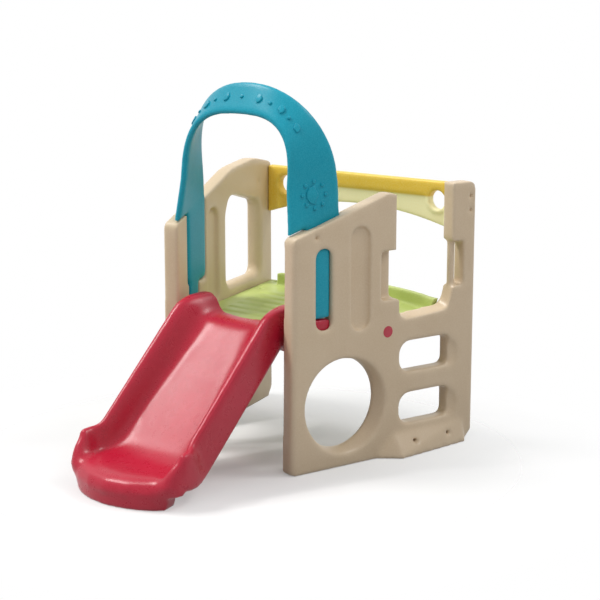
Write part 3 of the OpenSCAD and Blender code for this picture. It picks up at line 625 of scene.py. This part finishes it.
# %% Rear panel
RAIL_Z = 0.866
PORT_X = 0.348
PORT_Z = 0.856
PORT_R = 0.034
COLLAR_R = PORT_R + 0.013
WEB_Y = 0.657

# Start of each bar, from the front of the web, and its length
COLLAR = (-0.006, 0.020)
BORE = (-0.050, 0.150)


def drum(x, radius, start, length):
    """A round bar through the panel at one of its holes."""
    bpy.ops.mesh.primitive_cylinder_add(vertices=64, radius=radius, depth=length)
    tool = bpy.context.active_object
    tool.location = (x, WEB_Y + start + length / 2, PORT_Z)
    tool.rotation_euler = (math.pi / 2, 0, 0)
    settle(tool)
    return tool


def weigh_panel(points):
    """All on the rail, less on the web below it."""
    return np.where(points[:, 2] > RAIL_Z, 1.0, 0.4)


back_panel = copy_node("back_panel", "rear_panel")
for x in (-PORT_X, PORT_X):
    cut(back_panel, drum(x, COLLAR_R, *COLLAR), "UNION")
    cut(back_panel, drum(x, PORT_R, *BORE))
soften(back_panel, voxel=0.004, passes=9, weigh=weigh_panel)
polish(back_panel, passes=20, keep=0.0005)
finish_piece(back_panel, "back_panel", "yellow")

# %% [markdown]
# ## Shader sums
#
# A material is a web of small sums on noise, place and wear. Laying those down node by node hides what they mean, so
# one small class wraps a socket and lets plain arithmetic make the nodes.

# %% Wire class


class Wire:
    """A socket in a material's tree. Arithmetic on it adds Math nodes; make() adds any other node."""

    def __init__(self, tree, socket=None):
        self.tree, self.socket = tree, socket

    def make(self, kind, inputs=(), out=0, **settings):
        node = self.tree.nodes.new(kind)
        for key, value in settings.items():
            setattr(node, key, value)
        self.plug(node, dict(inputs))
        return Wire(self.tree, node.outputs[out] if node.outputs else None)

    def plug(self, node, inputs):
        """Links a wire to each named input of a node, or sets a plain value."""
        for key, value in inputs.items():
            if isinstance(value, Wire):
                self.tree.links.new(value.socket, node.inputs[key])
            else:
                node.inputs[key].default_value = value

    def sum(self, operation, a, b=0.0, **settings):
        return self.make("ShaderNodeMath", {0: a, 1: b}, operation=operation, **settings)

    def __add__(self, other):
        return self.sum("ADD", self, other)

    def __radd__(self, other):
        return self.sum("ADD", other, self)

    def __sub__(self, other):
        return self.sum("SUBTRACT", self, other)

    def __rsub__(self, other):
        return self.sum("SUBTRACT", other, self)

    def __mul__(self, other):
        return self.sum("MULTIPLY", self, other)

    def __rmul__(self, other):
        return self.sum("MULTIPLY", other, self)

    def __truediv__(self, other):
        return self.sum("DIVIDE", self, other)

    def __rtruediv__(self, other):
        return self.sum("DIVIDE", other, self)

    def clamped(self):
        return self.sum("ADD", self, 0.0, use_clamp=True)

    def mixed(self, a, b):
        """Colour a where this is 0 and b where it is 1."""
        return self.make("ShaderNodeMix", {0: self, 6: a, 7: b}, out=2, data_type="RGBA")

    def noise(self, scale, detail=2.0, rough=0.5):
        """Noise at a scale per metre, from the place that this wire carries."""
        return self.make("ShaderNodeTexNoise", {"Vector": self, "Scale": scale, "Detail": detail, "Roughness": rough})

    def swing(self, size):
        """Noise, which lies about a half, as a swing about 0."""
        return (self - 0.5) * size

    def bump(self, strength, distance):
        """The lean of a skin that has this wire as its height."""
        return self.make("ShaderNodeBump", {"Height": self, "Strength": strength, "Distance": distance}, out="Normal")


def linear(r, g, b):
    """A colour as seen on a screen, 0 to 255, as the light it stands for."""
    parts = [v / 255 for v in (r, g, b)]
    return (*[v / 12.92 if v <= 0.04045 else ((v + 0.055) / 1.055) ** 2.4 for v in parts], 1)


def new_material(name):
    """A material, a wire to make its nodes with, and its Principled node."""
    material = bpy.data.materials.new(name)
    material.use_nodes = True
    tree = material.node_tree
    tree.nodes.clear()
    wire = Wire(tree)
    shader = wire.make("ShaderNodeBsdfPrincipled")
    wire.make("ShaderNodeOutputMaterial", {"Surface": shader})
    return material, wire, shader.socket.node


# %% [markdown]
# ## Moulded plastic
#
# All six big pieces are the same kind of plastic in different colours. The colour is mixed into the powder before it
# melts, so it drifts a little over a hand's width and has a faint fleck. The mould's sand-blasted inside leaves a fine
# grain. Edges are scuffed paler and duller by hands and shoes. The thin web of the rear panel has painted light: it is
# painted paler, for light that comes through it.

# %% Plastic
PLACE = "ShaderNodeTexCoord"

# Base, pale and deep colour, roughness and shine
PLASTICS = {
    "tan_right": ((212, 191, 162), (230, 215, 194), (204, 181, 150), 0.34, 0.42),
    "tan_left": ((220, 199, 166), (234, 219, 196), (212, 189, 154), 0.38, 0.32),
    "green": ((190, 204, 120), (210, 220, 156), (178, 194, 104), 0.42, 0.32),
    "red": ((182, 14, 48), (206, 70, 92), (170, 8, 40), 0.29, 0.42),
    "teal": ((8, 154, 178), (78, 192, 210), (4, 144, 168), 0.34, 0.28),
    "yellow": ((240, 204, 76), (250, 232, 150), (232, 192, 58), 0.36, 0.32),
}

# Painted light: a paler colour on the rear panel's web that stands for light coming through it, and how it starts
# below the rail and from the left
WEB_PAINTED_LIGHT = {"yellow": (254, 249, 200)}
WEB_FADE = 0.008
WEB_X, WEB_RATE = -0.34, 6


def plastic(name, base, pale, deep, rough, shine, low=None):
    """A moulded plastic. low is painted light: a paler colour where light comes through the thin part below RAIL_Z."""
    base, pale, deep = linear(*base), linear(*pale), linear(*deep)
    material, wire, shader = new_material(name)
    place = wire.make(PLACE, out="Object")
    cloud = place.noise(7, 3)
    fleck = place.noise(260, 1)
    grain = place.noise(900, 2, 0.6)
    ripple = place.noise(30, 2)
    wear = wire.make("ShaderNodeAttribute", out="Fac", attribute_name="wear")
    scuff = (wear * (place.noise(55, 4, 0.7) * 2.4 - 0.7).clamped()).clamped()
    drifted = (cloud.swing(1.6) + 0.5).clamped().mixed(deep, base)
    # Painted light: below the rail, and rightwards from WEB_X, the colour is mixed towards low, a paler colour.
    if low:
        height = wire.make("ShaderNodeSeparateXYZ", {0: place}, out="Z")
        across = Wire(wire.tree, height.socket.node.outputs["X"])
        below = ((RAIL_Z - height) / WEB_FADE + 0.5).clamped()
        thin = below * ((across - WEB_X) * WEB_RATE).clamped()
        drifted = thin.mixed(drifted, linear(*low))
    flecked = (fleck.swing(0.6) + 0.08).clamped().mixed(drifted, pale)
    colour = (scuff * 0.45).mixed(flecked, pale)
    dull = rough + ripple.swing(0.14) + fleck.swing(0.06) + scuff * 0.12
    bump = (grain * 0.35 + ripple * 0.65).bump(0.07, 0.0012)
    wire.plug(shader, {"Base Color": colour, "Roughness": dull, "Normal": bump, "Specular IOR Level": shine})
    return material


materials = {name: plastic(name, *row, low=WEB_PAINTED_LIGHT.get(name)) for name, row in PLASTICS.items()}
for piece in (right_wall, left_wall, slide, arch, arch_relief, deck, back_panel):
    piece.data.materials.clear()
    piece.data.materials.append(materials[piece["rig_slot"]])
print("plastics:", sorted(materials))

# %% [markdown]
# ## Screws and sticker
#
# The screws are zinc plated, with dull blotches and fine scratches. The sticker is a plain red disc of vinyl.

# %% Screw and sticker finishes


def zinc(name):
    material, wire, shader = new_material(name)
    place = wire.make(PLACE, out="Object")
    blotch = place.noise(220, 3)
    scratch = place.noise(2400, 2, 0.7)
    colour = blotch.mixed(linear(150, 150, 148), linear(196, 196, 192))
    dull = 0.24 + blotch * 0.22
    bump = scratch.bump(0.2, 0.0002)
    wire.plug(shader, {"Base Color": colour, "Roughness": dull, "Normal": bump, "Metallic": 1.0})
    return material


def vinyl(name):
    material, wire, shader = new_material(name)
    place = wire.make(PLACE, out="Object")
    cloud = place.noise(60, 2)
    grain = place.noise(1200, 2)
    colour = cloud.mixed(linear(176, 44, 62), linear(190, 62, 78))
    dull = 0.34 + cloud * 0.12
    bump = grain.bump(0.1, 0.0003)
    wire.plug(shader, {"Base Color": colour, "Roughness": dull, "Normal": bump})
    return material


materials["screw_steel"] = zinc("screw_steel")
materials["sticker"] = vinyl("sticker")
for name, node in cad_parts.items():
    if "screw" in name or "sticker" in name:
        node.data.materials.clear()
        node.data.materials.append(materials["sticker" if "sticker" in name else "screw_steel"])
        alone(node)
        bpy.ops.object.shade_smooth_by_angle(angle=math.radians(30))
print("small parts:", sorted(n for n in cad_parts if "screw" in n or "sticker" in n))

# %% [markdown]
# ## Studio
#
# The picture was taken on a white sweep. A broad soft light hangs to the upper left, a smaller one in front of it
# draws the shadow's edge on the floor, one behind on the right catches the rims that face up, and a weak broad one
# opens up the shaded side. The floor keeps the shadow and is white to the camera, and it throws back less light than
# it shows, as a sweep does that is lit from far off. Away from the middle it fades into the white surroundings.

# %% Floor
FADE_FROM, FADE_RATE, FADE_LEAST = 0.35, 0.72, 0.28
SHOWN_DARK, SHOWN_PALE, BOUNCE = 0.84, 0.86, 0.42


def grey(value):
    return (value, value, value, 1)


def seen_white(wire):
    """1 for rays that show the backdrop: straight from the camera, by a mirror or through glass."""
    straight = wire.make("ShaderNodeLightPath", out="Is Camera Ray")
    outputs = straight.socket.node.outputs
    mirrored, through = (Wire(wire.tree, outputs[name]) for name in ("Is Glossy Ray", "Is Transmission Ray"))
    return (straight + mirrored + through).clamped()


bpy.ops.mesh.primitive_plane_add(size=16)
floor = bpy.context.active_object
floor.name = "floor"
material, wire, shader = new_material("floor")
place = wire.make(PLACE, out="Object")
seen = seen_white(wire)
far = wire.make("ShaderNodeVectorMath", {0: place}, out="Value", operation="LENGTH")
fade = ((far - FADE_FROM) * FADE_RATE + FADE_LEAST).clamped() * seen
shown = place.noise(1.5, 2).mixed(grey(SHOWN_DARK), grey(SHOWN_PALE))
colour = seen.mixed(grey(BOUNCE), shown)
wire.plug(shader, {"Base Color": colour, "Roughness": 0.9, "Specular IOR Level": 0.0})
clear = wire.make("ShaderNodeBsdfTransparent")
solid = Wire(wire.tree, shader.outputs[0])
output = next(n for n in wire.tree.nodes if n.type == "OUTPUT_MATERIAL")
blend = wire.make("ShaderNodeMixShader", {0: fade, 1: solid, 2: clear})
wire.tree.links.new(blend.socket, output.inputs["Surface"])
floor.data.materials.append(material)

# %% White surroundings
SKY_LOW, SKY_HIGH = (0.27, 0.275, 0.28, 1), (0.64, 0.65, 0.66, 1)

world = bpy.data.worlds.new("sweep")
bpy.context.scene.world = world
world.use_nodes = True
world.node_tree.nodes.clear()
sky = Wire(world.node_tree)
rise = sky.make("ShaderNodeSeparateXYZ", {0: sky.make(PLACE, out="Generated")}, out="Z")
shade = rise.clamped().mixed(SKY_LOW, SKY_HIGH)
white = sky.make("ShaderNodeBackground", {"Color": grey(1), "Strength": 1.0})
glow = sky.make("ShaderNodeBackground", {"Color": shade, "Strength": 1.0})
both = sky.make("ShaderNodeMixShader", {0: seen_white(sky), 1: glow, 2: white})
sky.make("ShaderNodeOutputWorld", {"Surface": both})

# %% Lights
FILL_AT, FILL_AIM = (2.2, -0.65, 2.5), (0.2, 0.2, 0.5)


def facing(way):
    """The turn that makes a light shine along way."""
    return Vector(way).to_track_quat("-Z", "Y").to_euler()


def lamp(name, way, energy, spread, colour, mirrored=True):
    """A far light that shines along way; spread is its width in degrees, and mirrored lets it show as a highlight."""
    bpy.ops.object.light_add(type="SUN")
    light = bpy.context.active_object
    light.name = name
    light.data.energy = energy
    light.data.angle = math.radians(spread)
    light.data.color = colour
    light.rotation_euler = facing(way)
    light.visible_glossy = mirrored


lamp("key", way=(0.55, 0.231, -0.89), energy=1.65, spread=20, colour=(1.0, 0.985, 0.965))
lamp("edge", way=(0.80, 0.90, -1.00), energy=0.75, spread=5, colour=(1.0, 0.985, 0.97), mirrored=False)
lamp("rim", way=(-0.45, -0.36, -0.82), energy=0.55, spread=14, colour=(1.0, 0.99, 0.98))

bpy.ops.object.light_add(type="AREA", location=FILL_AT)
fill = bpy.context.active_object
fill.name = "fill"
fill.visible_glossy = False
fill.data.energy = 11
fill.data.size = 1.4
fill.data.color = (1.0, 0.99, 0.975)
fill.rotation_euler = facing(Vector(FILL_AIM) - Vector(FILL_AT))

# %% Camera
CAMERA_AT = (3.453, -3.98367, 1.641)
CAMERA_TURN = (math.radians(78.33), 0, math.radians(38.82))

bpy.ops.object.camera_add(location=CAMERA_AT, rotation=CAMERA_TURN)
camera = bpy.context.active_object
camera.data.lens = 94.4
camera.data.sensor_width = 36
bpy.context.scene.camera = camera
bpy.context.scene.view_settings.view_transform = "Standard"
